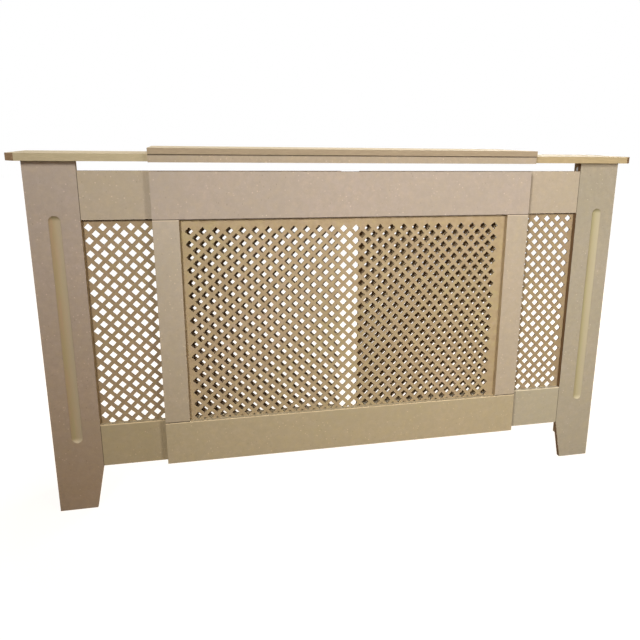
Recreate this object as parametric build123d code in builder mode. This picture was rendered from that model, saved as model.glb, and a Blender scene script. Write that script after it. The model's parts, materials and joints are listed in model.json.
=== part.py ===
"""Adjustable radiator cover cabinet in unpainted MDF.

A centre frame stands in front of two wings. Each wing is a leg, a side panel, two rails, a grille
and a shelf, and slides sideways behind the centre frame. A cap board with a front lip lies over
the inner ends of both shelves.

Millimetres. X runs to the right, Y from the room towards the wall, Z up. The origin is on the
floor, in the middle of the width and of the depth. In every function side is -1 for the left
wing and +1 for the right wing, and a distance from the middle is written as a positive number.
"""

from build123d import *
from math import sqrt
import os

os.makedirs("parts", exist_ok=True)

# Boards and sheets
frame_board = 12.0          # legs, rails, stiles and side panels
shelf_board = 15.0
cap_thickness = 12.0
grille_sheet = 3.0

# Heights, from the floor up
foot_height = 104.0         # floor to the bottom rails
rail_height = 100.0
window_height = 459.0       # open height between the rails
air_gap = 20.0              # warm air leaves between the top rails and the shelves

# Widths
centre_width = 862.0
stile_width = 54.0
rest_width = 1350.0         # over both legs, as the wings are set here
wing_gap = 44.0             # between the free ends of the wings, as they are set here
leg_width = 102.0
foot_taper = 21.0           # how far the foot's inner edge draws in at the floor
shelf_overhang = 26.0       # shelf past the outer face of the leg
shelf_clip = 19.0           # legs of the 45 degree corner cut

# Depths, from the wall to the room
cover_depth = 175.0         # front face of the legs to the wall
shelf_nose = 25.0           # shelf in front of the legs
lip_thickness = 15.0
lip_height = 16.5
cap_nose = 3.0              # cap board in front of its lip
skirting_depth = 20.0       # cut-out in the side panels for the skirting board
skirting_height = 120.0

# Flute in each leg, cut by a round-nosed cutter
flute_width = 25.0
flute_depth = 5.0
flute_base = 164.0
flute_length = 509.0
flute_shift = {-1: 0.0, 1: 6.0}     # outward from the leg's middle, left and right wing

# Grille: square holes turned 45 degrees, in staggered rows
hole_side = 24.0
hole_pitch = 40.0           # along the diagonal rows
grille_lap = 15.0           # sheet behind the boards round its window
grille_margin = 6.0         # least web between a hole and the edge of the window

# Guide battens behind the centre rails, with a T-slot in which the wings' bolts run
batten_thickness = 10.5
batten_height = 60.0
batten_drop = 10.0          # clear of the grille's edge
batten_end = 40.0           # solid wood past the slot, which stops the bolts
travel_in = 20.0            # wing travel towards the middle
travel_out = 300.0          # wing travel outwards
slot_play = 1.5             # slot past a bolt's head when its wing is fully out

# M6 T-bolts, with square washers and nuts behind the wings' rails
bolt_radius = 3.0
bolt_inset = 25.0           # bolt from the free end of the wing
bolt_tail = 2.0             # thread showing past the nut
head_width = 16.0
head_height = 3.5
washer_width = 20.0
washer_thickness = 1.5
nut_flats = 10.0            # across the flats
nut_height = 5.2

# Beech biscuits in the glued joints, each half in one board and half in the other
biscuit_length = 47.0
biscuit_width = 15.0
biscuit_thickness = 4.0
biscuit_flat = 22.0             # straight middle of a biscuit's long edges
panel_biscuit_margin = 90.0     # lowest and highest panel biscuit from the ends of the joint
panel_biscuit_count = 3
shelf_biscuit_margin = 40.0     # shelf biscuits from the ends of the side panel's top edge

# Folded steel bracket between each side panel's inner face and the wall
bracket_sheet = 1.5
bracket_top = 16.0          # below the shelf
bracket_arm_length = 67.0
bracket_arm_width = 16.0
bracket_arm_from_wall = 13.0
bracket_clip = 5.0          # corners cut off at the arm's top
bracket_leaf_height = 16.0  # leaf against the wall
bracket_leaf_reach = 25.0   # leaf from the side panel inwards
bracket_hole_radius = 2.5
bracket_hole_inset = 9.0    # hole from the leaf's free end

# Clearances
slide_gap = 0.5             # guide battens to the wings' rails
cap_gap = 0.3               # cap board to the shelves
lip_gap = 1.0               # lip to the front edge of the shelves
head_gap = 0.35             # bolt head in its pocket, front and back
bolt_gap = 0.3              # bolt in its slot and in the wing's rail
washer_gap = 0.2            # washers round the bolts
thread_gap = 0.05           # nuts round the bolts
biscuit_side_gap = 0.1      # biscuit to each side of its slot
biscuit_end_gap = 0.75      # glue space round a biscuit's edge

# Levels that follow from the sizes above
window_base = foot_height + rail_height
window_top = window_base + window_height
rails_top = window_top + rail_height
shelf_base = rails_top + air_gap
cap_base = shelf_base + shelf_board + cap_gap
top_rail_base = window_top
bottom_rail_base = foot_height
top_batten_base = window_top + grille_lap + batten_drop
bottom_batten_base = window_base - grille_lap - batten_drop - batten_height

# Distances from the middle
centre_edge = centre_width / 2
window_edge = centre_edge - stile_width
leg_outer = rest_width / 2
leg_inner = leg_outer - leg_width
leg_middle = leg_outer - leg_width / 2
panel_inner = leg_outer - frame_board
panel_middle = leg_outer - frame_board / 2
shelf_end = leg_outer + shelf_overhang
free_end = wing_gap / 2
bolt_from_middle = free_end + bolt_inset

# Depth planes
overall_depth = cover_depth + shelf_nose + lip_gap + lip_thickness + cap_nose
wall = overall_depth / 2
leg_front = wall - cover_depth
leg_back = leg_front + frame_board
batten_back = leg_front - slide_gap
batten_front = batten_back - batten_thickness
centre_front = batten_front - frame_board
shelf_front = leg_front - shelf_nose
lip_back = shelf_front - lip_gap
lip_front = lip_back - lip_thickness
cap_front = lip_front - cap_nose
pocket_depth = head_height + 2 * head_gap
head_back = batten_front + head_gap + head_height
nut_seat = leg_back + washer_thickness


def upright(y):
    """Vertical plane at depth y, seen from the room: local x is X, local y is Z."""
    return Plane.XZ.offset(-y)


def drill(mouth, outward, radius, depth):
    """Drill a hole in the part being built, from its mouth in a face whose normal is outward."""
    with Locations(Plane(origin=mouth, z_dir=outward)):
        Hole(radius, depth)


def biscuit_shape(growth, thickness):
    """Flat oval with straight edges, lying on the origin with its length along X."""
    half_length = biscuit_length / 2 + growth
    half_width = biscuit_width / 2 + growth
    half_flat = biscuit_flat / 2
    with BuildPart() as shape:
        with BuildSketch():
            with BuildLine():
                Polyline(
                    (-half_length, 0),
                    (-half_flat, half_width),
                    (half_flat, half_width),
                    (half_length, 0),
                    (half_flat, -half_width),
                    (-half_flat, -half_width),
                    close=True,
                )
            make_face()
        extrude(amount=thickness / 2, both=True)
    return shape.part


biscuit = biscuit_shape(0, biscuit_thickness)
biscuit_slot = biscuit_shape(biscuit_end_gap, biscuit_thickness + 2 * biscuit_side_gap)


def cut_slots(joints):
    """Cut the slots for biscuits at these joints out of the part being built."""
    for joint in joints:
        with Locations(joint):
            add(biscuit_slot, mode=Mode.SUBTRACT)


def make_biscuits(joints, name):
    """The biscuits of these joints, as one group of separate pieces."""
    with BuildPart() as biscuits:
        for joint in joints:
            with Locations(joint):
                add(biscuit)
    save(biscuits.part, name)


def save(part, name):
    """Label a finished piece and write its file."""
    part.label = name
    export_step(part, f"parts/{name}.step")


def wing_name(side, piece):
    return ("left_" if side < 0 else "right_") + piece


# ---- Joints: the middle of each biscuit, its length along local x, its thickness along local z ----

def leg_rail_joint(side, rail_base):
    """In the butt joint between a leg and one of its rails."""
    middle = (side * leg_inner, leg_front + frame_board / 2, rail_base + rail_height / 2)
    return Plane(origin=middle, x_dir=(0, 0, 1), z_dir=(0, 1, 0))


def panel_leg_joints(side):
    """Between the leg's back and the side panel's front edge."""
    step = (shelf_base - 2 * panel_biscuit_margin) / (panel_biscuit_count - 1)
    joints = []
    for number in range(panel_biscuit_count):
        middle = (side * panel_middle, leg_back, panel_biscuit_margin + step * number)
        joints.append(Plane(origin=middle, x_dir=(0, 0, 1), z_dir=(1, 0, 0)))
    return joints


def shelf_panel_joints(side):
    """Between the side panel's top edge and the shelf."""
    joints = []
    for depth in (leg_back + shelf_biscuit_margin, wall - shelf_biscuit_margin):
        middle = (side * panel_middle, depth, shelf_base)
        joints.append(Plane(origin=middle, x_dir=(0, 1, 0), z_dir=(1, 0, 0)))
    return joints


def shelf_leg_joint(side):
    """Between the leg's top edge and the shelf."""
    middle = (side * leg_middle, leg_front + frame_board / 2, shelf_base)
    return Plane(origin=middle, x_dir=(1, 0, 0), z_dir=(0, 1, 0))


def stile_joint(side, height):
    """In the butt joint between a stile of the centre frame and a rail."""
    middle = (side * (centre_edge - stile_width / 2), centre_front + frame_board / 2, height)
    return Plane(origin=middle, x_dir=(1, 0, 0), z_dir=(0, 1, 0))


def diamond_centres(x_from, x_to):
    """Centres of the grille's holes, staggered and centred in a window of the full height."""
    step = hole_pitch / sqrt(2)
    reach = hole_side / sqrt(2) + grille_margin
    columns = int((x_to - x_from - 2 * reach) / step)
    rows = int((window_height - 2 * reach) / step)
    x_first = (x_from + x_to - columns * step) / 2
    z_first = (window_base + window_top - rows * step) / 2
    places = []
    for column in range(columns + 1):
        for row in range(rows + 1):
            if (column + row) % 2 == 0:
                places.append((x_first + column * step, z_first + row * step))
    return places


# ---- Centre section ----

def make_centre_rail(name, rail_base, joint_height):
    """Rail across the centre frame. Its stiles butt against it at joint_height."""
    with BuildPart() as rail:
        with BuildSketch(upright(batten_front)):
            with Locations((0, rail_base + rail_height / 2)):
                Rectangle(centre_width, rail_height)
        extrude(amount=frame_board)
        cut_slots([stile_joint(-1, joint_height), stile_joint(1, joint_height)])
    save(rail.part, name)


def make_centre_stile(side):
    """Upright of the centre frame, between its two rails."""
    with BuildPart() as stile:
        with BuildSketch(upright(batten_front)):
            with Locations((side * (centre_edge - stile_width / 2), window_base + window_height / 2)):
                Rectangle(stile_width, window_height)
        extrude(amount=frame_board)
        cut_slots([stile_joint(side, window_base), stile_joint(side, window_top)])
    save(stile.part, "centre_left_stile" if side < 0 else "centre_right_stile")


def make_grille(name, sheet_from, sheet_to, window_from, window_to, front):
    """Punched sheet behind a window. The sheet laps the boards above and below it."""
    with BuildPart() as grille:
        with BuildSketch(upright(front + grille_sheet)):
            with Locations(((sheet_from + sheet_to) / 2, window_base + window_height / 2)):
                Rectangle(sheet_to - sheet_from, window_height + 2 * grille_lap)
            with Locations(*diamond_centres(window_from, window_to)):
                Rectangle(hole_side, hole_side, rotation=45, mode=Mode.SUBTRACT)
        extrude(amount=grille_sheet)
    save(grille.part, name)


def make_guide_batten(name, base):
    """Batten behind a centre rail. Its slot lets the bolts run, and the wider pocket holds the heads."""
    pocket_width = head_width + 2 * bolt_gap
    pocket_length = 2 * (bolt_from_middle + travel_out + slot_play) + head_width
    slot_width = 2 * (bolt_radius + bolt_gap)
    slot_length = pocket_length - pocket_width + slot_width
    with BuildPart() as batten:
        with BuildSketch(upright(batten_back)):
            with Locations((0, base + batten_height / 2)):
                Rectangle(pocket_length + 2 * batten_end, batten_height)
                Rectangle(slot_length, slot_width, mode=Mode.SUBTRACT)
        extrude(amount=batten_thickness)
        with BuildSketch(upright(batten_front)):
            with Locations((0, base + batten_height / 2)):
                Rectangle(pocket_length, pocket_width)
        extrude(amount=-pocket_depth, mode=Mode.SUBTRACT)
    save(batten.part, name)


def make_cap():
    """Cap board over the shelves, and the lip under its front edge."""
    with BuildPart() as cap_board:
        with BuildSketch(Plane.XY.offset(cap_base)):
            Rectangle(centre_width, overall_depth)
        extrude(amount=cap_thickness)
    save(cap_board.part, "cap_board")
    with BuildPart() as cap_lip:
        with BuildSketch(upright(lip_back)):
            with Locations((0, cap_base - lip_height / 2)):
                Rectangle(centre_width, lip_height)
        extrude(amount=lip_thickness)
    save(cap_lip.part, "cap_lip")


# ---- Wings ----

def frame_joints(side):
    """The joints of a leg with its rails and its side panel."""
    rail_joints = [leg_rail_joint(side, base) for base in (bottom_rail_base, top_rail_base)]
    return rail_joints + panel_leg_joints(side)


def shelf_joints(side):
    """The joints of a shelf with what carries it."""
    return [shelf_leg_joint(side)] + shelf_panel_joints(side)


def make_leg(side):
    """Front post of a wing, with a foot that narrows on its inner edge and a flute."""
    cutter_radius = ((flute_width / 2) ** 2 + flute_depth ** 2) / (2 * flute_depth)
    flute_x = side * (leg_middle + flute_shift[side])
    cutter_y = leg_front - cutter_radius + flute_depth
    plunge = flute_base + flute_width / 2
    lift = flute_base + flute_length - flute_width / 2
    with BuildPart() as leg:
        with BuildSketch(upright(leg_back)):
            with BuildLine():
                Polyline(
                    (side * leg_outer, 0),
                    (side * leg_outer, shelf_base),
                    (side * leg_inner, shelf_base),
                    (side * leg_inner, foot_height),
                    (side * (leg_inner + foot_taper), 0),
                    close=True,
                )
            make_face()
        extrude(amount=frame_board)
        with Locations((flute_x, cutter_y, (plunge + lift) / 2)):
            Cylinder(cutter_radius, lift - plunge, mode=Mode.SUBTRACT)
        with Locations((flute_x, cutter_y, plunge), (flute_x, cutter_y, lift)):
            Sphere(cutter_radius, mode=Mode.SUBTRACT)
        cut_slots(frame_joints(side))
        cut_slots([shelf_leg_joint(side)])
    save(leg.part, wing_name(side, "leg"))


def make_side_panel(side):
    """End board from the leg's back to the wall, cut out over the skirting board."""
    near_face = min(side * leg_outer, side * panel_inner)
    with BuildPart() as panel:
        with BuildSketch(Plane.YZ.offset(near_face)):
            with BuildLine():
                Polyline(
                    (leg_back, 0),
                    (wall - skirting_depth, 0),
                    (wall - skirting_depth, skirting_height),
                    (wall, skirting_height),
                    (wall, shelf_base),
                    (leg_back, shelf_base),
                    close=True,
                )
            make_face()
        extrude(amount=frame_board)
        cut_slots(panel_leg_joints(side) + shelf_panel_joints(side))
    save(panel.part, wing_name(side, "side_panel"))


def make_wing_rail(side, name, rail_base, bolt_height):
    """Rail from the leg to the wing's free end, which runs behind the centre frame."""
    with BuildPart() as rail:
        with BuildSketch(upright(leg_back)):
            with Locations((side * (free_end + leg_inner) / 2, rail_base + rail_height / 2)):
                Rectangle(leg_inner - free_end, rail_height)
        extrude(amount=frame_board)
        cut_slots([leg_rail_joint(side, rail_base)])
        bolt_hole = (side * bolt_from_middle, leg_back, bolt_height)
        drill(bolt_hole, (0, 1, 0), bolt_radius + bolt_gap, frame_board)
    save(rail.part, wing_name(side, name))


def make_wing_grille(side):
    """Grille behind a wing's rails, from behind the leg to the wing's free end."""
    sheet = sorted((side * free_end, side * (leg_inner + grille_lap)))
    window = sorted((side * free_end, side * leg_inner))
    make_grille(wing_name(side, "grille"), *sheet, *window, leg_back)


def make_shelf(side):
    """Top board of a wing, with its outer front corner cut off."""
    with BuildPart() as shelf:
        with BuildSketch(Plane.XY.offset(shelf_base)):
            with BuildLine():
                Polyline(
                    (side * free_end, shelf_front),
                    (side * (shelf_end - shelf_clip), shelf_front),
                    (side * shelf_end, shelf_front + shelf_clip),
                    (side * shelf_end, wall),
                    (side * free_end, wall),
                    close=True,
                )
            make_face()
        extrude(amount=shelf_board)
        cut_slots(shelf_joints(side))
    save(shelf.part, wing_name(side, "shelf"))


# ---- Hardware ----

def make_wall_bracket(side):
    """Bracket with an upright arm on the side panel and a leaf with a screw hole on the wall."""
    top = shelf_base - bracket_top
    base = top - bracket_arm_length
    shoulder = base + bracket_leaf_height
    back = wall - bracket_arm_from_wall
    front = back - bracket_arm_width
    arm_face = min(side * panel_inner, side * (panel_inner - bracket_sheet))
    leaf_middle = panel_inner - bracket_leaf_reach / 2
    hole_from_middle = panel_inner - bracket_leaf_reach + bracket_hole_inset
    with BuildPart() as bracket:
        with BuildSketch(Plane.YZ.offset(arm_face)):
            with BuildLine():
                Polyline(
                    (front, base),
                    (wall, base),
                    (wall, shoulder),
                    (back, shoulder),
                    (back, top - bracket_clip),
                    (back - bracket_clip, top),
                    (front + bracket_clip, top),
                    (front, top - bracket_clip),
                    close=True,
                )
            make_face()
        extrude(amount=bracket_sheet)
        with BuildSketch(upright(wall)):
            with Locations((side * leaf_middle, (base + shoulder) / 2)):
                Rectangle(bracket_leaf_reach, bracket_leaf_height)
            with Locations((side * hole_from_middle, (base + shoulder) / 2)):
                Circle(bracket_hole_radius, mode=Mode.SUBTRACT)
        extrude(amount=bracket_sheet)
    save(bracket.part, wing_name(side, "wall_bracket"))


def bolt_heights():
    """The top and bottom bolts run in the middle of the two guide battens."""
    return [top_batten_base + batten_height / 2, bottom_batten_base + batten_height / 2]


def make_clamp_bolts(side):
    """T-bolts. The flat head can't turn in the batten's pocket, and the shank ends past the nut."""
    shank_end = nut_seat + nut_height + bolt_tail
    centres = [(side * bolt_from_middle, height) for height in bolt_heights()]
    with BuildPart() as bolts:
        with BuildSketch(upright(head_back)):
            with Locations(*centres):
                Rectangle(head_width, head_width)
        extrude(amount=head_height)
        with BuildSketch(upright(head_back)):
            with Locations(*centres):
                Circle(bolt_radius)
        extrude(amount=head_back - shank_end)
    save(bolts.part, wing_name(side, "clamp_bolts"))


def make_clamp_washers(side):
    """Square washers between the wing's rails and the nuts."""
    with BuildPart() as washers:
        with BuildSketch(upright(nut_seat)):
            with Locations(*[(side * bolt_from_middle, height) for height in bolt_heights()]):
                Rectangle(washer_width, washer_width)
                Circle(bolt_radius + washer_gap, mode=Mode.SUBTRACT)
        extrude(amount=washer_thickness)
    save(washers.part, wing_name(side, "clamp_washers"))


def make_clamp_nuts(side):
    """Hexagon nuts that clamp a wing at the chosen width."""
    with BuildPart() as nuts:
        with BuildSketch(upright(nut_seat + nut_height)):
            with Locations(*[(side * bolt_from_middle, height) for height in bolt_heights()]):
                RegularPolygon(nut_flats / 2, 6, major_radius=False)
                Circle(bolt_radius + thread_gap, mode=Mode.SUBTRACT)
        extrude(amount=nut_height)
    save(nuts.part, wing_name(side, "clamp_nuts"))


make_centre_rail("centre_top_rail", top_rail_base, window_top)
make_centre_rail("centre_bottom_rail", bottom_rail_base, window_base)
make_centre_stile(-1)
make_centre_stile(1)
make_biscuits(
    [stile_joint(side, height) for side in (-1, 1) for height in (window_base, window_top)],
    "centre_biscuits",
)
make_grille(
    "centre_grille",
    -window_edge - grille_lap,
    window_edge + grille_lap,
    -window_edge,
    window_edge,
    batten_front,
)
make_guide_batten("top_guide_batten", top_batten_base)
make_guide_batten("bottom_guide_batten", bottom_batten_base)
make_cap()

for side in (-1, 1):
    top_bolt, bottom_bolt = bolt_heights()
    make_leg(side)
    make_side_panel(side)
    make_wing_rail(side, "top_rail", top_rail_base, top_bolt)
    make_wing_rail(side, "bottom_rail", bottom_rail_base, bottom_bolt)
    make_wing_grille(side)
    make_shelf(side)
    make_biscuits(frame_joints(side), wing_name(side, "frame_biscuits"))
    make_biscuits(shelf_joints(side), wing_name(side, "shelf_biscuits"))
    make_wall_bracket(side)
    make_clamp_bolts(side)
    make_clamp_washers(side)
    make_clamp_nuts(side)
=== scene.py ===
"""Looks of the adjustable radiator cover: board and steel materials, punched grilles, fasteners, stage.

Metres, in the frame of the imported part: X to the right, -Y towards the room, Z up from the floor.
"""
import math

import bmesh
import bpy
from mathutils import Matrix, Vector
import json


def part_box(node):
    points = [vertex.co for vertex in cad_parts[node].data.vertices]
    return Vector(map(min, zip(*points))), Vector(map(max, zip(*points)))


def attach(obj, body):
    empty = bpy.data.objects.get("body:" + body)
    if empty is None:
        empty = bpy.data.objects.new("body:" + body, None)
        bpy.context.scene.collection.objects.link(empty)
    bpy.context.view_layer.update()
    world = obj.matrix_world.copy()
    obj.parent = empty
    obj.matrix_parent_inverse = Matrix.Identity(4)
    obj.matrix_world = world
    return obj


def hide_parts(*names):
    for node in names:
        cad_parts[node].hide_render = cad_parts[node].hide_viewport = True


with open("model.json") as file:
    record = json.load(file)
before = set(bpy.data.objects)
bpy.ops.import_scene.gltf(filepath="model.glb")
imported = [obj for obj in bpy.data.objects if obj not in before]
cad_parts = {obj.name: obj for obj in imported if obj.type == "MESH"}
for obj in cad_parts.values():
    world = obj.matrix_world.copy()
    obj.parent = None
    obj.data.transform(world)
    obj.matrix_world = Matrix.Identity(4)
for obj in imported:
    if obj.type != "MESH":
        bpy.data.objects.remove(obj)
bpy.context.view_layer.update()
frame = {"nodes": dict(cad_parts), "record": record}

X, Y, Z = range(3)
SIDES = {"left": -1, "right": 1}

# Punched sheets: square holes turned 45 degrees, in staggered rows
HOLE = 0.012
PITCH = 0.020                    # along the diagonal rows
STEP = PITCH / math.sqrt(2)      # from a column or row to the next one
SHEET_EDGE = 0.00025             # rounding of the punched edges
ROWS = 32
# Outermost hole of each sheet's top row, how many columns there are and which way they follow
LATTICES = {
    "left_grille": {"x": -0.5618, "z": 0.6460, "columns": 38, "way": 1},
    "right_grille": {"x": 0.5583, "z": 0.6486, "columns": 38, "way": -1},
    "centre_grille": {"x": -0.3574, "z": 0.6371, "columns": 51, "way": 1},
}

# Fasteners on the hidden side
STAPLE_WIRE = 0.0009
STAPLE_WIDTH = 0.011
STAPLE_DEPTH = 0.0025
STAPLE_INSET = 0.0065            # from the sheet's edge
STAPLE_PITCH = 0.075
BRACKET_SHEET = 0.0015
BRACKET_ARM_BACK = 0.013         # arm's back edge from the wall
BRACKET_ARM_WIDTH = 0.016
BRACKET_SCREW_DROPS = (0.015, 0.040)
BATTEN_SCREW_INSET = 0.012
BATTEN_SCREW_SHARES = (-1, -0.35, 0.35, 1)  # along the batten, from its middle to its outermost screws
BATTEN_SCREW_RISE = 0.021
# Screw heads turned from (radius, height) points
PAN_HEAD = [(0, 0), (0.0036, 0), (0.0037, 0.0007), (0.0033, 0.0016), (0.0022, 0.0022), (0, 0.0024)]
FLUSH_HEAD = [
    (0, -0.002), (0.0016, -0.002), (0.0034, -0.0002), (0.0034, 0.0001), (0.0032, 0.0002), (0, 0.0002),
]
HEAD_SEGMENTS = 24
RECESS_WIDTH = 0.0038
RECESS_DEPTH = 0.0011
RECESS_TAPER = 0.6               # the recess's width at its foot, as a share
WELD = 1e-6

# Camera, solved from the photograph's grille lattices and board corners
CAMERA_PLACE = (-0.3550, -1.5530, 0.8400)
CAMERA_TURN = (74.667, -0.792, -13.997)
CAMERA_LENS = 37.73
CAMERA_SHIFT = (-0.0601, -0.0011)

# Lamps: place, aim, size, watts and spread in degrees
LAMPS = {
    "key": ((-1.1, -2.2, 1.5), (0.44, 0, 1.07), 0.45, 14.6, 96),
    "fill": ((0.75, -2.0, 0.95), (0.78, 0, 0.45), 0.4, 7.4, 110),
    "overhead": ((0.1, 0.15, 2.4), (0.1, 0.15, 0), 1.2, 24, 180),
    "back": ((1.8, 2.3, 1.4), (0.15, 0.1, 0.35), 1.0, 20, 120),
}
LAMP_COLOUR = (1.0, 0.995, 0.985)
AMBIENT = (1.0, 0.72, 0.40)
AMBIENT_LEVEL = 0.05
WHITE = (1, 1, 1, 1)

# Floor
FLOOR = (0.40, 0.28, 0.15)
FLOOR_REACH = 12
FLOOR_DROP = 0.0005              # keeps the floor clear of the feet
FLOOR_LIFT = (0.92, 1.0)         # near the part and away from it
FLOOR_LIFT_REACH = (0.75, 1.1)

# Patterns: scale, detail and roughness of a noise
MOTTLE = (7, 5, 0.65)
HUE = (55, 3, 0.55)
BLOTCH = (75, 4, 0.65)
BLOTCH_DISTORTION = 0.5
FELT = (420, 5, 0.7)
SHEET_MOTTLE = (3.5, 5, 0.6)
SHEET_HUE = (85, 3, 0.6)
SHEET_BLOTCH = (60, 4, 0.6)
SHEET_FELT = (500, 4, 0.65)
BRACKET_SPANGLE = (120, 3, 0.55)
BOLT_SPANGLE = (300, 3, 0.55)
ZINC_GRAIN = (1500, 2, 0.6)
FLOOR_TONE = (0.8, 2, 0.5)
# Scales along X, Y and Z, and detail, of streaks
SANDING = ((11, 11, 420), 3)
FLUTE_STREAKS = ((90, 90, 9), 4)
BEECH_FLECKS = ((700, 300, 140), 4)
LAYERS_DETAIL = 4
LAYERS_ALONG, LAYERS_ACROSS = 60, 900
STREAK_ROUGHNESS = 0.6
STREAK_CONTRAST = (0.35, 0.65)
BEECH_CONTRAST = (0.35, 0.7)
# Scattered points: scale, radii of full and no strength, strength, and scale and range of where they gather
PALE_SPECKS = (95, 0.08, 0.17, 0.55, 22, 0.40, 0.56)
DARK_FLECKS = (80, 0.06, 0.15, 0.40, 31, 0.42, 0.56)
FLECK_STRETCH = (1.4, 0.9, 0.8)
CLUSTER_DETAIL = 2

# Tints and shades of the patterns
OLIVE_TINT = (0.93, 0.95, 0.91)
ROSE_TINT = (1.06, 1.04, 1.05)
YELLOW_TINT = (1.02, 1.01, 0.95)
BLUE_TINT = (0.99, 1.0, 1.05)
SHEET_OLIVE_TINT = (0.93, 0.97, 0.86)
SHEET_ROSE_TINT = (1.04, 1.0, 1.03)
SHEET_YELLOW_TINT = (1.03, 1.03, 0.90)
SHEET_BLUE_TINT = (0.99, 0.97, 1.08)
SHEET_BLOTCH_TINT = (0.84, 0.79, 0.74)
# Painted shade on a shelf's sawn-off corner, darker and warmer than its edge
CORNER_SHADE_TINTS = ((0.50, 0.38, 0.35), (0.74, 0.58, 0.52))
SPECK_SHADE = 1.5
SPECK_LIMIT = 0.9                # brightest part of a pale speck's colour
FLECK_SHADE = 0.45
SANDING_CONTRAST = (0.45, 0.7, 0.0, 0.35)
SANDING_SHADE = 0.88
LAYER_SHADES = (0.86, 1.08)
UPPER_EDGE_HIGHLIGHT = 1.2
FLOOR_SHADE = 0.97
BEECH_SHADE = 0.7
ZINC_SHADE = 0.85
SHEET_BACK_SHADE = 0.8
SHEET_HOLE_SHADE = 0.75
# Painted highlight on a flute's lower end and painted shade on its upper end
LIT_END_SHADE, DARK_END_SHADE = 1.3, 0.55
# Strength of a pattern, and the shade that it goes to
BLOTCH_WASH = (0.8, 0.86)
FELT_WASH = (0.4, 0.82)
EDGE_WASH = (0.5, 0.88)
SHEET_FELT_WASH = (0.3, 0.85)

# Where a surface's direction changes its colour, from none to all of it
SQUARE = (0.6, 0.8)
LIT_UPWARD = (0.3, 0.7)
BACKWARD = (0, 0.5)
CORNER_SHADE_SPAN = (0.3, 0.45)
# A flute's wall painted as shaded, and its ends painted as lit and shaded
DARK_WALL = (-0.5, 0.3)
LIT_END, DARK_END = (0.1, 0.5), (-0.1, -0.5)
SHADE_DRIFT_SPAN = (0.05, 0.75)        # heights between which the painted light gradient's tints change

# Dark lines where boards meet, painted shadow lines under an overhanging board, and painted highlights along
# upper edges in sight
LINE_REACH = 0.0018
DARK_LINE_DARKNESS = 0.85
DARK_LINE_SHADE = 0.12
# Reach of the painted shadow on a sheet under its upper rail
CENTRE_RAIL_SHADOW = 0.0035
WING_RAIL_SHADOW = 0.0065
HIGHLIGHT_SPAN = (0.0012, 0.0030)      # below the edge, from full to no strength
HIGHLIGHT_STRENGTH = 0.9
HIGHLIGHT_START = 0.0004
WING_BASE_HIGHLIGHT, CENTRE_BASE_HIGHLIGHT, STILE_HIGHLIGHT = 2.0, 1.95, 1.4  # brightness of the painted highlight along the edge
CUT_SPAN = (0.0002, 0.0014)      # behind the front face, where a flute's own colour sets in

# Bump, roughness from smooth to rough spots, and gloss
BOARD_BUMP, BOARD_ROUGHNESS, BOARD_GLOSS = 0.00012, (0.72, 0.9), 0.25
SHEET_BUMP, SHEET_ROUGHNESS, SHEET_GLOSS = 0.00008, (0.62, 0.8), 0.3
FLOOR_BUMP, FLOOR_ROUGHNESS, FLOOR_GLOSS = 0.00001, (0.85, 0.9), 0.1
BEECH_BUMP, BEECH_ROUGHNESS = 0.0001, (0.6, 0.75)
ZINC_BUMP, DULL_ROUGHNESS, BRIGHT_ROUGHNESS = 0.00002, (0.45, 0.6), (0.25, 0.4)


def srgb(red, green, blue):
    """A colour as it looks on screen, 0 to 255, in the linear values that shaders take."""
    return tuple(
        part / 12.92 if part <= 0.04045 else ((part + 0.055) / 1.055) ** 2.4
        for part in (red / 255, green / 255, blue / 255)
    )


def shade(colour, factor):
    return tuple(part * factor for part in colour)


def tinted(colour, tint):
    return tuple(part * factor for part, factor in zip(colour, tint))


CENTRE_FACE = srgb(194, 178, 162)
STILE_FACE = srgb(197, 181, 159)
# Painted light and shade up a board: tints at its foot and at its top
STILE_SHADE_DRIFTS = {"left": ((0.93, 0.92, 0.84), (1.06, 1.09, 1.16)), "right": None}
CENTRE_BASE_FACE = srgb(195, 179, 147)
LEG_FACES = {"left": srgb(183, 164, 145), "right": srgb(183, 172, 150)}
LEG_SHADE_DRIFTS = {
    "left": ((0.94, 0.88, 0.79), (1.08, 1.13, 1.22)),
    "right": ((1.05, 1.05, 1.06), (0.94, 0.93, 0.94)),
}
RAIL_FACE = srgb(195, 179, 157)
WING_BASE_FACES = {"left": srgb(189, 172, 139), "right": srgb(193, 182, 158)}
TOP_FACE = srgb(214, 197, 166)
CUT_EDGE = srgb(132, 106, 76)
STILE_EDGE = srgb(178, 158, 126)
# Inner cut edges of the legs: the left one painted pale as lit, the right one painted dark as shaded
LIT_AND_SHADED_LEG_EDGES = {"left": srgb(186, 161, 122), "right": srgb(126, 100, 72)}
FLUTES = {
    "left": (srgb(190, 175, 147), srgb(176, 162, 122), srgb(184, 158, 126)),
    "right": (srgb(188, 177, 148), srgb(180, 172, 130), srgb(184, 170, 134)),
}
SHELF_EDGES = {"left": srgb(194, 179, 145), "right": srgb(189, 168, 128)}
CAP_EDGE = srgb(173, 154, 127)
LIP_FACE = srgb(189, 172, 149)
GRILLE_FACE = srgb(190, 170, 136)
# The wing sheets' colour, darker than the centre sheet's as painted shade of the sheets set further back
SHADED_WING_GRILLE_FACE = srgb(175, 154, 122)
# Near-black painted shade, for the sheets' holes and for the shadow under a rail
GRILLE_SHADE = srgb(44, 26, 12)
GRILLE_BACK = srgb(122, 94, 64)
BEECH = srgb(205, 170, 126)
DULL_ZINC = (0.40, 0.39, 0.37)
BRIGHT_ZINC = (0.72, 0.71, 0.68)


# ---- Materials ----

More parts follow.
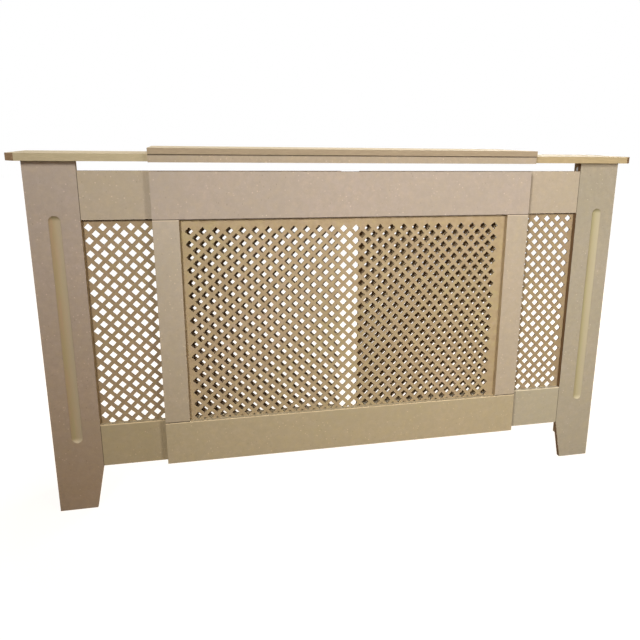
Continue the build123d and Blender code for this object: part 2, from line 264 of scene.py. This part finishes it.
class Nodes:
    """Short names for building one node material."""

    def __init__(self, name):
        self.material = bpy.data.materials.new(name)
        self.material.use_nodes = True
        self.tree = self.material.node_tree
        self.shader = self.tree.nodes["Principled BSDF"]
        self.place = self.add("ShaderNodeTexCoord").outputs["Object"]

    def add(self, kind, **settings):
        node = self.tree.nodes.new(kind)
        for name, value in settings.items():
            setattr(node, name, value)
        return node

    def put(self, socket, value):
        if isinstance(value, bpy.types.NodeSocket):
            self.tree.links.new(value, socket)
        elif isinstance(value, tuple) and len(value) == 3 and socket.type == "RGBA":
            socket.default_value = (*value, 1)
        else:
            socket.default_value = value

    def stretched(self, scale):
        """Coordinates scaled along X, Y and Z."""
        node = self.add("ShaderNodeMapping")
        self.put(node.inputs["Vector"], self.place)
        self.put(node.inputs["Scale"], scale)
        return node.outputs["Vector"]

    def noise(self, scale, detail, roughness=0.5, vector=None, distortion=0.0):
        node = self.add("ShaderNodeTexNoise")
        self.put(node.inputs["Vector"], vector or self.place)
        self.put(node.inputs["Scale"], scale)
        self.put(node.inputs["Detail"], detail)
        self.put(node.inputs["Roughness"], roughness)
        self.put(node.inputs["Distortion"], distortion)
        return node.outputs["Fac"]

    def clouds(self, *pattern, reach=0.15, distortion=0.0):
        """Noise with its contrast raised, from 0 to 1 within a reach of its middle."""
        return self.spread(self.noise(*pattern, distortion=distortion), 0.5 - reach, 0.5 + reach)

    def streaks(self, scales, detail):
        """Noise drawn out along the axes with small scales."""
        return self.noise(1, detail, STREAK_ROUGHNESS, self.stretched(scales))

    def points(self, scale, full, end, strength, cluster, low, high, vector=None):
        """Small spots round scattered points, which gather in clusters."""
        node = self.add("ShaderNodeTexVoronoi")
        self.put(node.inputs["Vector"], vector or self.place)
        self.put(node.inputs["Scale"], scale)
        spots = self.spread(node.outputs["Distance"], full, end, strength, 0.0)
        return self.maths("MULTIPLY", spots, self.spread(self.noise(cluster, CLUSTER_DETAIL), low, high))

    def spread(self, value, low, high, to_low=0.0, to_high=1.0):
        node = self.add("ShaderNodeMapRange", clamp=True)
        for socket, number in zip(node.inputs, (value, low, high, to_low, to_high)):
            self.put(socket, number)
        return node.outputs["Result"]

    def maths(self, operation, a, b=0.0):
        node = self.add("ShaderNodeMath", operation=operation)
        self.put(node.inputs[0], a)
        self.put(node.inputs[1], b)
        return node.outputs["Value"]

    def line(self, along, middle, reach):
        """Strength of a soft dark line at a distance from zero along an axis, on both sides."""
        away = self.maths("ABSOLUTE", self.maths("SUBTRACT", self.maths("ABSOLUTE", along), middle))
        return self.spread(away, reach / 3, reach, DARK_LINE_DARKNESS, 0.0)

    def split(self, vector):
        """A vector's X, Y and Z."""
        node = self.add("ShaderNodeSeparateXYZ")
        self.put(node.inputs[0], vector)
        return node.outputs

    def normal(self):
        """X, Y and Z of the surface's direction."""
        return self.split(self.add("ShaderNodeTexCoord").outputs["Normal"])

    def facing(self, part):
        """1 where the surface lies square to an axis, on either side."""
        return self.spread(self.maths("ABSOLUTE", part), *SQUARE)

    def mix(self, amount, a, b, blend="MIX"):
        node = self.add("ShaderNodeMix", data_type="RGBA", blend_type=blend)
        self.put(node.inputs["Factor"], amount)
        self.put(node.inputs["A"], a)
        self.put(node.inputs["B"], b)
        return node.outputs["Result"]

    def wash(self, colour, base, pattern, strength, factor):
        """A colour mixed towards a shade of its base by a part of a pattern."""
        return self.mix(self.maths("MULTIPLY", pattern, strength), colour, shade(base, factor))

    def tint(self, colour, tint):
        return self.mix(1.0, colour, tint, "MULTIPLY")

    def finish(self, colour, roughness, height, depth, metallic=0.0, gloss=0.5):
        bump = self.add("ShaderNodeBump")
        self.put(bump.inputs["Height"], height)
        self.put(bump.inputs["Distance"], depth)
        self.put(self.shader.inputs["Base Color"], colour)
        self.put(self.shader.inputs["Roughness"], roughness)
        self.put(self.shader.inputs["Normal"], bump.outputs["Normal"])
        self.shader.inputs["Metallic"].default_value = metallic
        self.shader.inputs["Specular IOR Level"].default_value = gloss
        return self.material


def felted_face(n, face, blotch, felt):
    """Mottled colour of a board's face, with sanding marks, pale specks and dark flecks."""
    colour = n.mix(n.clouds(*MOTTLE, reach=0.2), tinted(face, OLIVE_TINT), tinted(face, ROSE_TINT))
    colour = n.tint(colour, n.mix(n.clouds(*HUE), YELLOW_TINT, BLUE_TINT))
    colour = n.wash(colour, face, blotch, *BLOTCH_WASH)
    colour = n.wash(colour, face, felt, *FELT_WASH)
    colour = n.mix(n.spread(n.streaks(*SANDING), *SANDING_CONTRAST), colour, shade(face, SANDING_SHADE))
    pale = tuple(min(part, SPECK_LIMIT) for part in shade(face, SPECK_SHADE))
    colour = n.mix(n.points(*PALE_SPECKS), colour, pale)
    return n.mix(n.points(*DARK_FLECKS, n.stretched(FLECK_STRETCH)), colour, shade(face, FLECK_SHADE))


def flute_colour(n, flute, normal):
    """Colour of a flute's walls and of its upper and lower end, with painted light and shade: one wall lit
    and the other shaded, the lower end lit and the upper end shaded.
    """
    lit, *dull = flute
    dark_wall = n.mix(n.spread(n.streaks(*FLUTE_STREAKS), *STREAK_CONTRAST), *dull)
    colour = n.mix(n.spread(normal[X], *DARK_WALL), lit, dark_wall)
    colour = n.mix(n.spread(normal[Z], *LIT_END), colour, shade(lit, LIT_END_SHADE))
    return n.mix(n.spread(normal[Z], *DARK_END), colour, shade(dull[0], DARK_END_SHADE))


def board(name, face, edge, thin_axis, flute=None, seams_and_shadows=(), lit_arrises=(), shade_drift=None):
    """MDF: a felted face, and layered cut edges, with painted shade darkening a shelf's sawn-off corner.

    flute holds three colours of the cut in the front face: its wall painted as lit, and two that streak its
    wall painted as shaded.
    seams_and_shadows are (axis, distance from the middle, reach) of thin dark lines: joints where boards meet
    and painted shadow under an overhang.
    lit_arrises are (height, brightness) of upper edges in sight, where a painted highlight pales the face
    below the corner and the upward edge.
    shade_drift is a pair of tints of the face, at its foot and at its top: a painted gradient of light and
    shade up the board.
    """
    n = Nodes(name)
    place, normal = n.split(n.place), n.normal()
    blotch, felt = n.clouds(*BLOTCH, distortion=BLOTCH_DISTORTION), n.clouds(*FELT)
    layered = tuple(LAYERS_ACROSS if axis == thin_axis else LAYERS_ALONG for axis in (X, Y, Z))
    layers = n.spread(n.streaks(layered, LAYERS_DETAIL), *STREAK_CONTRAST)

    face_colour = felted_face(n, face, blotch, felt)
    # Painted gradient of light and shade from the board's foot to its top
    if shade_drift:
        face_colour = n.tint(face_colour, n.mix(n.spread(place[Z], *SHADE_DRIFT_SPAN), *shade_drift))
    if flute:
        front = n.maths("LESS_THAN", normal[thin_axis], 0)
        behind = n.spread(place[Y], *(leg_front + depth for depth in CUT_SPAN))
        face_colour = n.mix(n.maths("MULTIPLY", front, behind), face_colour, flute_colour(n, flute, normal))

    edge_colour = n.mix(layers, *(shade(edge, factor) for factor in LAYER_SHADES))
    edge_colour = n.wash(edge_colour, edge, blotch, *EDGE_WASH)
    # Painted shade on the sawn-off corner of a shelf
    if thin_axis == Z:
        corner = n.maths("ABSOLUTE", n.maths("MULTIPLY", normal[X], normal[Y]))
        sawn = n.mix(layers, *(tinted(edge, tint) for tint in CORNER_SHADE_TINTS))
        edge_colour = n.mix(n.spread(corner, *CORNER_SHADE_SPAN), edge_colour, sawn)
    # Painted highlight on upward-facing edges, as if lit from above
    if lit_arrises:
        pale = n.mix(layers, face, shade(face, UPPER_EDGE_HIGHLIGHT))
        edge_colour = n.mix(n.spread(normal[Z], *LIT_UPWARD), edge_colour, pale)

    flat = n.facing(normal[thin_axis])
    colour = n.mix(flat, edge_colour, face_colour)
    height = n.mix(flat, layers, felt)
    # Dark joint lines where boards meet, and painted shadow lines under the shelf and the cap
    for axis, middle, reach in seams_and_shadows:
        dark_line = n.maths("MULTIPLY", flat, n.line(place[axis], middle, reach))
        colour = n.mix(dark_line, colour, shade(edge, DARK_LINE_SHADE))
        height = n.mix(dark_line, height, (0.0, 0.0, 0.0))
    # Painted highlight along the face just below an upper edge
    for top, brightness in lit_arrises:
        below = n.maths("SUBTRACT", top, place[Z])
        fading = n.spread(below, *HIGHLIGHT_SPAN, HIGHLIGHT_STRENGTH, 0.0)
        highlight = n.maths("MULTIPLY", fading, n.spread(below, 0.0, HIGHLIGHT_START))
        colour = n.wash(colour, face, highlight, flat, brightness)
    rough = n.spread(felt, 0, 1, *BOARD_ROUGHNESS)
    return n.finish(colour, rough, height, BOARD_BUMP, gloss=BOARD_GLOSS)


def grille_board(name, face, rail_edge, reach):
    """Hardboard of the punched sheets: smooth face, darker back, holes painted near-black as shade, and a
    painted shadow line under the upper rail.
    """
    n = Nodes(name)
    normal, felt = n.normal(), n.clouds(*SHEET_FELT, reach=0.2)
    colour = n.mix(n.clouds(*SHEET_MOTTLE), tinted(face, SHEET_OLIVE_TINT), tinted(face, SHEET_ROSE_TINT))
    colour = n.tint(colour, n.mix(n.clouds(*SHEET_HUE), SHEET_YELLOW_TINT, SHEET_BLUE_TINT))
    colour = n.mix(n.clouds(*SHEET_BLOTCH), colour, tinted(face, SHEET_BLOTCH_TINT))
    colour = n.wash(colour, face, felt, *SHEET_FELT_WASH)
    # Painted shadow on the sheet just under its upper rail
    colour = n.mix(n.line(n.split(n.place)[Z], rail_edge, reach), colour, GRILLE_SHADE)
    back = n.mix(felt, shade(GRILLE_BACK, SHEET_BACK_SHADE), GRILLE_BACK)
    colour = n.mix(n.spread(normal[Y], *BACKWARD), colour, back)
    # Hole walls painted near-black as the shade inside the holes
    holes = n.mix(felt, shade(GRILLE_SHADE, SHEET_HOLE_SHADE), GRILLE_SHADE)
    colour = n.mix(n.facing(normal[Y]), holes, colour)
    rough = n.spread(felt, 0, 1, *SHEET_ROUGHNESS)
    return n.finish(colour, rough, felt, SHEET_BUMP, gloss=SHEET_GLOSS)


def beech(name):
    """Pressed beech of the biscuits, with short flecks along the length."""
    n = Nodes(name)
    flecks = n.spread(n.streaks(*BEECH_FLECKS), *BEECH_CONTRAST)
    colour = n.mix(flecks, BEECH, shade(BEECH, BEECH_SHADE))
    return n.finish(colour, n.spread(flecks, 0, 1, *BEECH_ROUGHNESS), flecks, BEECH_BUMP)


def zinc(name, base, spangle, roughness):
    """Zinc-plated steel with faint spangle and rubbed patches."""
    n = Nodes(name)
    patches, grain = n.clouds(*spangle, reach=0.2), n.clouds(*ZINC_GRAIN, reach=0.2)
    colour = n.mix(patches, shade(base, ZINC_SHADE), base)
    return n.finish(colour, n.spread(patches, 0, 1, *roughness), grain, ZINC_BUMP, metallic=1.0)


def studio_floor(name):
    """Pale floor. What the camera sees of it is lifted to the background's white away from the part."""
    n = Nodes(name)
    tone = n.clouds(*FLOOR_TONE, reach=0.2)
    colour = n.mix(tone, shade(FLOOR, FLOOR_SHADE), FLOOR)
    n.finish(colour, n.spread(tone, 0, 1, *FLOOR_ROUGHNESS), tone, FLOOR_BUMP, gloss=FLOOR_GLOSS)
    distance = n.add("ShaderNodeVectorMath", operation="LENGTH")
    n.put(distance.inputs[0], n.place)
    glow = n.add("ShaderNodeEmission")
    n.put(glow.inputs["Strength"], n.spread(distance.outputs["Value"], *FLOOR_LIFT_REACH, *FLOOR_LIFT))
    both = n.add("ShaderNodeAddShader")
    n.put(both.inputs[0], n.shader.outputs[0])
    n.put(both.inputs[1], glow.outputs[0])
    choice = n.add("ShaderNodeMixShader")
    n.put(choice.inputs[0], seen_directly(n.tree))
    n.put(choice.inputs[1], n.shader.outputs[0])
    n.put(choice.inputs[2], both.outputs[0])
    n.put(n.tree.nodes["Material Output"].inputs["Surface"], choice.outputs[0])
    return n.material


def seen_directly(tree):
    """1 for camera, glossy and transmission rays, which show the background."""
    path = tree.nodes.new("ShaderNodeLightPath")
    total = path.outputs["Is Camera Ray"]
    for ray in ("Is Glossy Ray", "Is Transmission Ray"):
        node = tree.nodes.new("ShaderNodeMath")
        node.operation = "MAXIMUM"
        tree.links.new(total, node.inputs[0])
        tree.links.new(path.outputs[ray], node.inputs[1])
        total = node.outputs[0]
    return total


leg_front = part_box("left_leg")[0][Y]
leg_side = (X, -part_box("left_leg")[1][X], LINE_REACH / 2)
# Painted shadow on the leg's top, under the shelf's overhang
under_shelf_shadow = (Z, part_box("left_leg")[1][Z], 1.5 * LINE_REACH)
stile_base, stile_top = (corner[Z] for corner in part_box("centre_left_stile"))
base_seam = (Z, stile_base, 1.8 * LINE_REACH)
top_seam = (Z, stile_top, 1.2 * LINE_REACH)
# Painted shadow on the lip's top, under the cap's overhang
under_cap_shadow = (Z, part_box("cap_lip")[1][Z], 2 * LINE_REACH)
wing_rail_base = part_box("left_top_rail")[0][Z]

leg_boards = {
    side: board(
        f"mdf_{side}_leg", face, LIT_AND_SHADED_LEG_EDGES[side], Y, flute=FLUTES[side], seams_and_shadows=[leg_side, under_shelf_shadow],
        shade_drift=LEG_SHADE_DRIFTS[side],
    )
    for side, face in LEG_FACES.items()
}
rail_board = board("mdf_rail", RAIL_FACE, CUT_EDGE, Y, seams_and_shadows=[leg_side])
wing_base_boards = {
    side: board(
        f"mdf_{side}_base", face, CUT_EDGE, Y, seams_and_shadows=[leg_side], lit_arrises=[(stile_base, WING_BASE_HIGHLIGHT)],
    )
    for side, face in WING_BASE_FACES.items()
}
centre_board = board("mdf_centre", CENTRE_FACE, CUT_EDGE, Y, seams_and_shadows=[top_seam])
stile_boards = {
    side: board(
        f"mdf_{side}_stile", STILE_FACE, STILE_EDGE, Y, seams_and_shadows=[base_seam, top_seam],
        lit_arrises=[(stile_top, STILE_HIGHLIGHT)], shade_drift=shade_drift,
    )
    for side, shade_drift in STILE_SHADE_DRIFTS.items()
}
centre_base_board = board(
    "mdf_centre_base", CENTRE_BASE_FACE, CUT_EDGE, Y, seams_and_shadows=[base_seam],
    lit_arrises=[(stile_base, CENTRE_BASE_HIGHLIGHT)],
)
panel_board = board("mdf_panel", RAIL_FACE, CUT_EDGE, X)
shelf_boards = {side: board(f"mdf_{side}_shelf", TOP_FACE, edge, Z) for side, edge in SHELF_EDGES.items()}
cap_top_board = board("mdf_cap", TOP_FACE, CAP_EDGE, Z)
lip_board = board("mdf_lip", LIP_FACE, CUT_EDGE, Y, seams_and_shadows=[under_cap_shadow])
batten_wood = board("mdf_batten", RAIL_FACE, CUT_EDGE, Y)
centre_sheet = grille_board("grille_sheet", GRILLE_FACE, stile_top, CENTRE_RAIL_SHADOW)
wing_sheet = grille_board("wing_grille_sheet", SHADED_WING_GRILLE_FACE, wing_rail_base, WING_RAIL_SHADOW)
biscuit_beech = beech("biscuit_beech")
bracket_zinc = zinc("bracket_zinc", DULL_ZINC, BRACKET_SPANGLE, DULL_ROUGHNESS)
bolt_steel = zinc("bolt_steel", BRIGHT_ZINC, BOLT_SPANGLE, BRIGHT_ROUGHNESS)

NODE_MATERIALS = {
    "centre_top_rail": centre_board,
    "centre_bottom_rail": centre_base_board,
    "centre_left_stile": stile_boards["left"],
    "centre_right_stile": stile_boards["right"],
    "centre_biscuits": biscuit_beech,
    "top_guide_batten": batten_wood,
    "bottom_guide_batten": batten_wood,
    "cap_board": cap_top_board,
    "cap_lip": lip_board,
    "left_leg": leg_boards["left"],
    "right_leg": leg_boards["right"],
    "side_panel": panel_board,
    "top_rail": rail_board,
    "left_bottom_rail": wing_base_boards["left"],
    "right_bottom_rail": wing_base_boards["right"],
    "left_shelf": shelf_boards["left"],
    "right_shelf": shelf_boards["right"],
    "wall_bracket": bracket_zinc,
    "frame_biscuits": biscuit_beech,
    "shelf_biscuits": biscuit_beech,
    "clamp_bolts": bolt_steel,
    "clamp_washers": bolt_steel,
    "clamp_nuts": bolt_steel,
}


def dress_nodes():
    """Give every CAD node that stays in sight its material."""
    for name, node in frame["nodes"].items():
        side, _, plain = name.partition("_")
        material = NODE_MATERIALS.get(name) or (side in SIDES and NODE_MATERIALS.get(plain))
        if not material:
            continue
        node.data.materials.clear()
        node.data.materials.append(material)


# ---- Pieces ----

def add_piece(name, mesh, material, body):
    """A finished piece that rides on a body."""
    piece = bpy.data.objects.new(name, mesh)
    bpy.context.scene.collection.objects.link(piece)
    mesh.materials.clear()
    mesh.materials.append(material)
    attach(piece, body)
    return piece


def body_of_node(node):
    for body, members in frame["record"]["behaviour"]["bodies"].items():
        if node in members:
            return body


def hole_places(lattice):
    """Centres of a sheet's holes, as X and Z."""
    for column in range(lattice["columns"]):
        for row in range(ROWS):
            if (column + row) % 2 == 0:
                yield lattice["x"] + lattice["way"] * column * STEP, lattice["z"] - row * STEP


def mesh_of_curve(name, curve):
    """Mesh of a curve, through an object that lives only as long."""
    holder = bpy.data.objects.new(name, curve)
    bpy.context.scene.collection.objects.link(holder)
    mesh = bpy.data.meshes.new_from_object(holder)
    bpy.data.objects.remove(holder)
    return mesh


def add_loop(curve, points):
    spline = curve.splines.new("POLY")
    spline.points.add(len(points) - 1)
    for point, (x, y) in zip(spline.points, points):
        point.co = (x, y, 0, 1)
    spline.use_cyclic_u = True


def sheet_outline(node, reach):
    """Border of a sheet, as X and Z. The left wing's sheet is cut through its last column of holes."""
    low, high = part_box(node)
    corners = [(low[X], low[Z]), (high[X], low[Z]), (high[X], high[Z]), (low[X], high[Z])]
    if node != "left_grille":
        return corners
    lattice = LATTICES[node]
    last = lattice["columns"]
    end = lattice["x"] + last * STEP
    notches = []
    for row in reversed(range(ROWS)):
        if (last + row) % 2 == 0:
            z = lattice["z"] - row * STEP
            notches += [(end, z - reach), (end - reach, z), (end, z + reach)]
    return [corners[0], (end, low[Z]), *notches, (end, high[Z]), corners[3]]


def punched_sheet(node):
    """A grille at its real pitch, in place of the CAD node with its coarser holes."""
    low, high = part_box(node)
    curve = bpy.data.curves.new(node + "_outline", "CURVE")
    curve.dimensions = "2D"
    curve.fill_mode = "BOTH"
    curve.bevel_depth = SHEET_EDGE
    curve.bevel_resolution = 0
    curve.offset = -SHEET_EDGE
    curve.extrude = (high[Y] - low[Y]) / 2 - SHEET_EDGE
    reach = HOLE / math.sqrt(2)
    add_loop(curve, sheet_outline(node, reach))
    for x, z in hole_places(LATTICES[node]):
        add_loop(curve, [(x - reach, z), (x, z + reach), (x + reach, z), (x, z - reach)])
    mesh = mesh_of_curve(node + "_outline", curve)
    # Stand the flat sheet up: its Y becomes Z, and its thickness lies along Y
    mesh.transform(Matrix.Translation((0, (low[Y] + high[Y]) / 2, 0)) @ Matrix.Rotation(math.pi / 2, 4, "X"))
    material = centre_sheet if node == "centre_grille" else wing_sheet
    piece = add_piece(node + "_sheet", mesh, material, body_of_node(node))
    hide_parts(node)


def staples(node):
    """Wire staples that hold a sheet's upper and lower edge to the back of its boards."""
    low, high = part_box(node)
    curve = bpy.data.curves.new(node + "_staples", "CURVE")
    curve.dimensions = "3D"
    curve.bevel_depth = STAPLE_WIRE / 2
    curve.bevel_resolution = 1
    crown = high[Y] + STAPLE_WIRE / 4
    half, bend = STAPLE_WIDTH / 2, STAPLE_WIRE / 2
    count = max(2, round((high[X] - low[X]) / STAPLE_PITCH))
    for z in (low[Z] + STAPLE_INSET, high[Z] - STAPLE_INSET):
        for index in range(count):
            x = low[X] + (index + 0.5) * (high[X] - low[X]) / count
            spline = curve.splines.new("POLY")
            outline = [
                (x - half, crown - STAPLE_DEPTH),
                (x - half, crown - bend),
                (x - half + bend, crown),
                (x + half - bend, crown),
                (x + half, crown - bend),
                (x + half, crown - STAPLE_DEPTH),
            ]
            spline.points.add(len(outline) - 1)
            for point, (along, depth) in zip(spline.points, outline):
                point.co = (along, depth, z, 1)
    mesh = mesh_of_curve(node + "_wires", curve)
    add_piece(node + "_staples", mesh, bolt_steel, body_of_node(node))


def turned(work, profile):
    """Turn a profile of (radius, height) points round Z."""
    points = [work.verts.new((radius, 0, height)) for radius, height in profile]
    edges = [work.edges.new(pair) for pair in zip(points, points[1:])]
    bmesh.ops.spin(
        work, geom=points + edges, cent=(0, 0, 0), axis=(0, 0, 1), angle=math.tau, steps=HEAD_SEGMENTS,
        use_merge=True,
    )
    bmesh.ops.remove_doubles(work, verts=work.verts, dist=WELD)


def screw_head(profile):
    """Mesh of a screw's head with a cross recess, its top at the profile's last height."""
    head, cutter = bpy.data.meshes.new("head"), bpy.data.meshes.new("cutter")
    work = bmesh.new()
    turned(work, profile)
    bmesh.ops.recalc_face_normals(work, faces=work.faces)
    work.to_mesh(head)
    work.clear()
    top = profile[-1][1]
    for wide, deep in ((RECESS_WIDTH, RECESS_WIDTH / 4), (RECESS_WIDTH / 4, RECESS_WIDTH)):
        for vertex in bmesh.ops.create_cube(work, size=1)["verts"]:
            taper = 1 if vertex.co.z > 0 else RECESS_TAPER
            vertex.co.x *= wide * taper
            vertex.co.y *= deep * taper
            vertex.co.z = top + vertex.co.z * 2 * RECESS_DEPTH
    work.to_mesh(cutter)
    work.free()
    body, tool = bpy.data.objects.new("head", head), bpy.data.objects.new("tool", cutter)
    for part in (body, tool):
        bpy.context.scene.collection.objects.link(part)
    cut = body.modifiers.new("recess", "BOOLEAN")
    cut.operation = "DIFFERENCE"
    cut.solver = "EXACT"
    cut.use_self = True
    cut.object = tool
    mesh = bpy.data.meshes.new_from_object(body.evaluated_get(bpy.context.evaluated_depsgraph_get()))
    for part in (body, tool):
        bpy.data.objects.remove(part)
    return mesh


def set_heads(name, head, places, facing, body):
    """One piece with a screw head at each place, facing along a direction."""
    turn = Vector((0, 0, 1)).rotation_difference(Vector(facing)).to_matrix().to_4x4()
    work = bmesh.new()
    for place in places:
        start = len(work.verts)
        work.from_mesh(head)
        work.verts.ensure_lookup_table()
        bmesh.ops.transform(work, matrix=Matrix.Translation(place) @ turn, verts=work.verts[start:])
    mesh = bpy.data.meshes.new(name)
    work.to_mesh(mesh)
    work.free()
    add_piece(name, mesh, bolt_steel, body)


def bracket_screws(side):
    """Two pan heads that hold a wall bracket's arm to its side panel."""
    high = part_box(f"{side}_wall_bracket")[1]
    way = SIDES[side]
    panel_low, panel_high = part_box(f"{side}_side_panel")
    panel_face = min(abs(panel_low[X]), abs(panel_high[X]))
    arm_face = way * (panel_face - BRACKET_SHEET)
    middle = high[Y] - BRACKET_ARM_BACK - BRACKET_ARM_WIDTH / 2
    places = [(arm_face, middle, high[Z] - drop) for drop in BRACKET_SCREW_DROPS]
    set_heads(f"{side}_bracket_screws", screw_head(PAN_HEAD), places, (-way, 0, 0), f"{side}_wing")


def batten_screws(node):
    """Countersunk heads that hold a guide batten to its rail, above and below its slot."""
    low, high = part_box(node)
    middle, reach = (low[Z] + high[Z]) / 2, (high[X] - low[X]) / 2 - BATTEN_SCREW_INSET
    places = [
        (share * reach, high[Y], middle + way * BATTEN_SCREW_RISE)
        for share in BATTEN_SCREW_SHARES
        for way in (-1, 1)
    ]
    set_heads(node + "_screws", screw_head(FLUSH_HEAD), places, (0, 1, 0), body_of_node(node))


def make_stage():
    """Floor that meets the white background far from the part."""
    mesh = bpy.data.meshes.new("floor")
    work = bmesh.new()
    bmesh.ops.create_grid(work, x_segments=4, y_segments=4, size=FLOOR_REACH)
    work.to_mesh(mesh)
    work.free()
    mesh.materials.append(studio_floor("studio_floor"))
    floor = bpy.data.objects.new("floor", mesh)
    floor.location.z = -FLOOR_DROP
    bpy.context.scene.collection.objects.link(floor)


def add_lamp(name, place, aim, size, watts, spread):
    """A soft square lamp at a place, turned to an aim point."""
    lamp = bpy.data.lights.new(name, "AREA")
    lamp.size = size
    lamp.energy = watts
    lamp.color = LAMP_COLOUR
    lamp.spread = math.radians(spread)
    holder = bpy.data.objects.new(name, lamp)
    holder.location = place
    holder.rotation_euler = (Vector(aim) - Vector(place)).to_track_quat("-Z", "Y").to_euler()
    bpy.context.scene.collection.objects.link(holder)


def make_light():
    """The lamps, and a world that is white to look at and lights the part only weakly."""
    for name, settings in LAMPS.items():
        add_lamp(name, *settings)
    world = bpy.data.worlds.new("studio")
    bpy.context.scene.world = world
    world.use_nodes = True
    tree = world.node_tree
    light = tree.nodes.new("ShaderNodeMix")
    light.data_type = "RGBA"
    tree.links.new(seen_directly(tree), light.inputs["Factor"])
    light.inputs["A"].default_value = (*shade(AMBIENT, AMBIENT_LEVEL), 1)
    light.inputs["B"].default_value = WHITE
    tree.links.new(light.outputs["Result"], tree.nodes["Background"].inputs["Color"])


def make_camera():
    camera = bpy.data.cameras.new("camera")
    camera.lens = CAMERA_LENS
    camera.shift_x, camera.shift_y = CAMERA_SHIFT
    holder = bpy.data.objects.new("camera", camera)
    holder.location = CAMERA_PLACE
    holder.rotation_euler = [math.radians(angle) for angle in CAMERA_TURN]
    bpy.context.scene.collection.objects.link(holder)
    bpy.context.scene.camera = holder


dress_nodes()
for grille in LATTICES:
    punched_sheet(grille)
    staples(grille)
for side in SIDES:
    bracket_screws(side)
batten_screws("top_guide_batten")
batten_screws("bottom_guide_batten")
make_stage()
make_light()
make_camera()
bpy.context.scene.view_settings.view_transform = "Standard"
